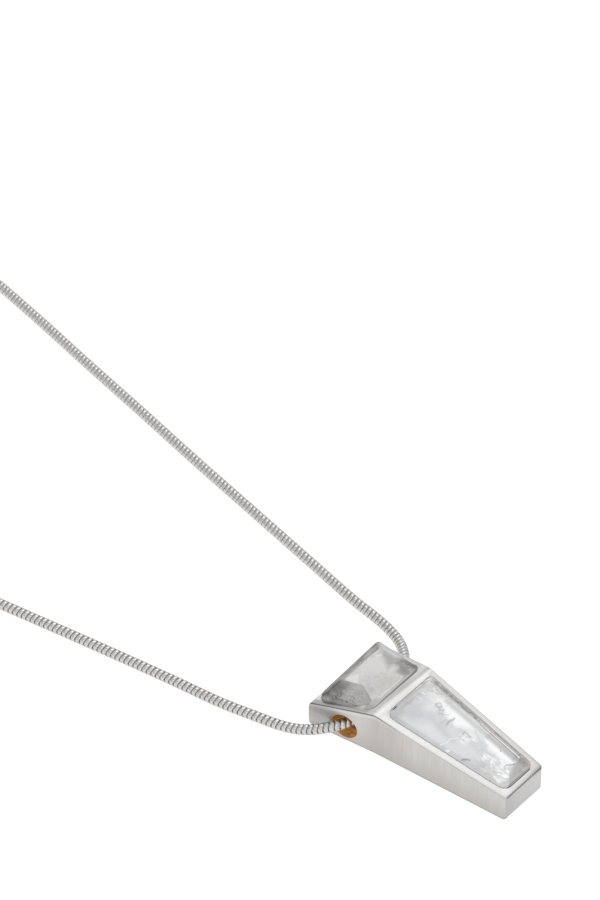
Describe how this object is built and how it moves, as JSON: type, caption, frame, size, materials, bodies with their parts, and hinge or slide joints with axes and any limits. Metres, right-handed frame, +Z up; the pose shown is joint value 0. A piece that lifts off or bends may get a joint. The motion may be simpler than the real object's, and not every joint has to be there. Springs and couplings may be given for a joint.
{
  "type": "crystal pendant necklace",
  "caption": "Tapered ridged metal pendant with a clear and a milky quartz crystal set in its front, cross-bored for a round snake chain that forms a closed necklace loop with a barrel clasp.",
  "frame": {"origin": "middle of the pendant's flat back, halfway between its top end and its tip, on the surface that the necklace lies on", "axes": "+Z up out of the pendant's front, +Y from the pendant's tip to its top end and on into the chain's loop, -X the side nearest in the picture"},
  "size_m": [0.0798, 0.2262, 0.0098],
  "materials": {
    "satin_metal": "satin brushed plate with fine upright lines on the sides and a smoother front",
    "clear_quartz": "polished, slightly smoky, with specks and veils",
    "milky_quartz": "polished, cloudy white with clear patches and healed cracks",
    "bright_chain": "polished bands",
    "bright_clasp": "polished"
  },
  "bodies": {
    "root": {"pendant_body": "satin_metal", "upper_crystal": "clear_quartz", "lower_crystal": "milky_quartz", "snake_chain": "bright_chain", "clasp": "bright_clasp"}
  },
  "joints": []
}
